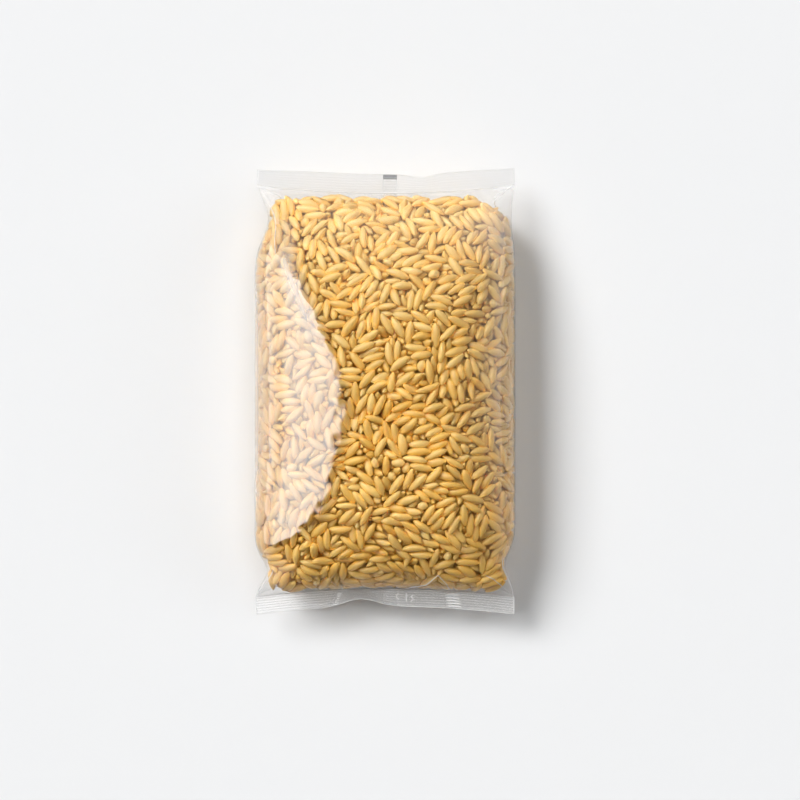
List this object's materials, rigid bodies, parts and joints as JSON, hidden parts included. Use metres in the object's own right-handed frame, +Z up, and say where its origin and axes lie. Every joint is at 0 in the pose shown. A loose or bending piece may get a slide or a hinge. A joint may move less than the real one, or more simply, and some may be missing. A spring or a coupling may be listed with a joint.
{
  "type": "clear bag of orzo pasta",
  "caption": "Clear film bag of orzo, a small grain-shaped dry pasta, sealed across both ends with a gusset down each side, lying on its back.",
  "frame": {"origin": "on the ground under the middle of the bag, at the centre of the bottom of its bounding box", "axes": "+Y from the bottom seal to the top seal, +X to the bag's right edge seen from the front, +Z up out of the front face"},
  "size_m": [0.1046, 0.1798, 0.045],
  "materials": {
    "orzo": "satin",
    "film": "gloss"
  },
  "bodies": {
    "root": {"sealed_bag": "orzo"}
  },
  "joints": []
}
